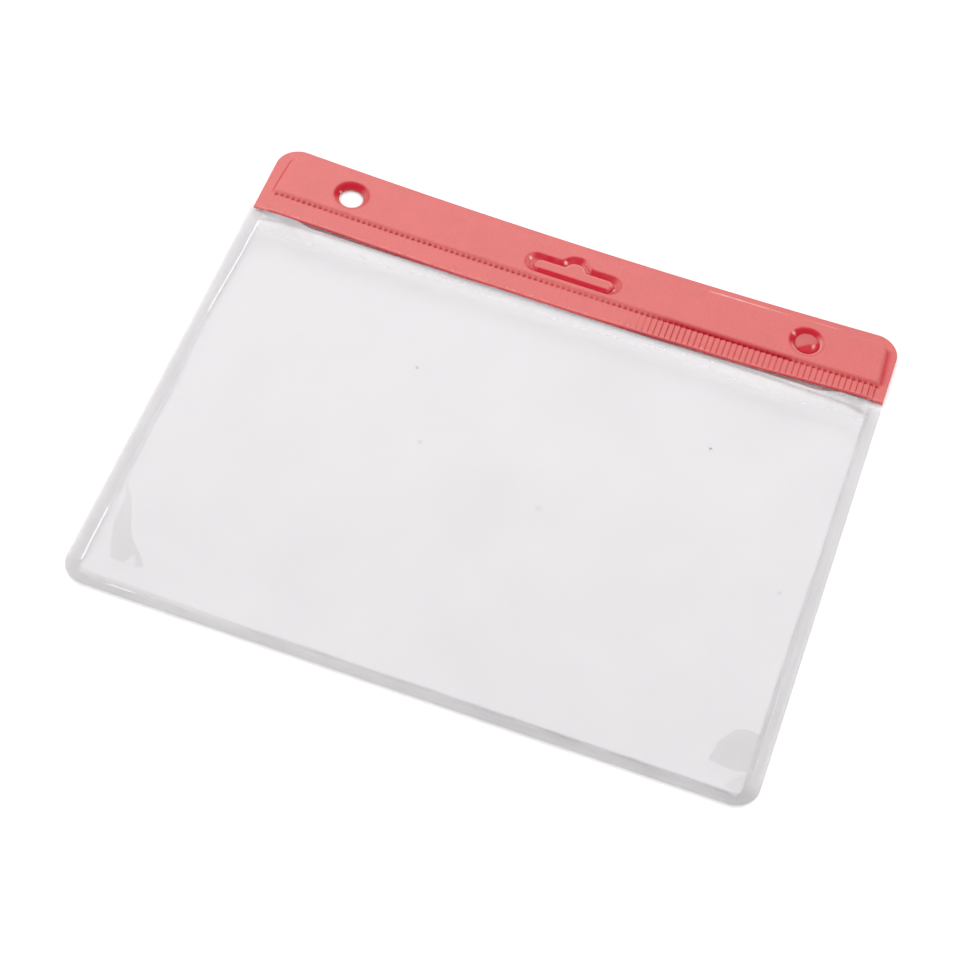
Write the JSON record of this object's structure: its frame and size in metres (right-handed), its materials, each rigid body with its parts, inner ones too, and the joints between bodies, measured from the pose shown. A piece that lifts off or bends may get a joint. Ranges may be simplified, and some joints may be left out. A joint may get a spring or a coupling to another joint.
{
  "type": "badge holder",
  "caption": "Landscape soft-vinyl badge holder: a clear welded pocket under a coloured header strip with a punched hole and knock-outs for a slot and a hole",
  "frame": {"origin": "middle of the outline's bounding box, on the surface that the holder lies on", "axes": "+X along the width, +Y towards the header strip, +Z out of the front face"},
  "size_m": [0.114, 0.0982, 0.0015],
  "materials": {
    "red_front_film": "soft coral-red vinyl with a fine leather-like grain, weld dashes and a ribbed band",
    "red_back_film": "soft coral-red vinyl, fine grain",
    "clear_back_film": "clear soft vinyl, smooth, slightly milky",
    "clear_front_film": "clear soft vinyl, glossy, with a rolled highlight along its welds",
    "red_slug": "coral-red vinyl pressed glossy beside its weld groove"
  },
  "bodies": {
    "holder": {"back_panel": "clear_back_film", "front_panel": "clear_front_film", "header_back": "red_back_film", "header_front": "red_front_film"},
    "slot_knockout": {"slot_slug": "red_slug"},
    "hole_knockout": {"hole_slug": "red_slug"}
  },
  "joints": [
    {"name": "slot_knockout_lift", "type": "slide", "parent": "holder", "child": "slot_knockout", "axis": [0, 0, 1], "range_m": [0, 0.01]},
    {"name": "hole_knockout_lift", "type": "slide", "parent": "holder", "child": "hole_knockout", "axis": [0, 0, 1], "range_m": [0, 0.01]}
  ]
}
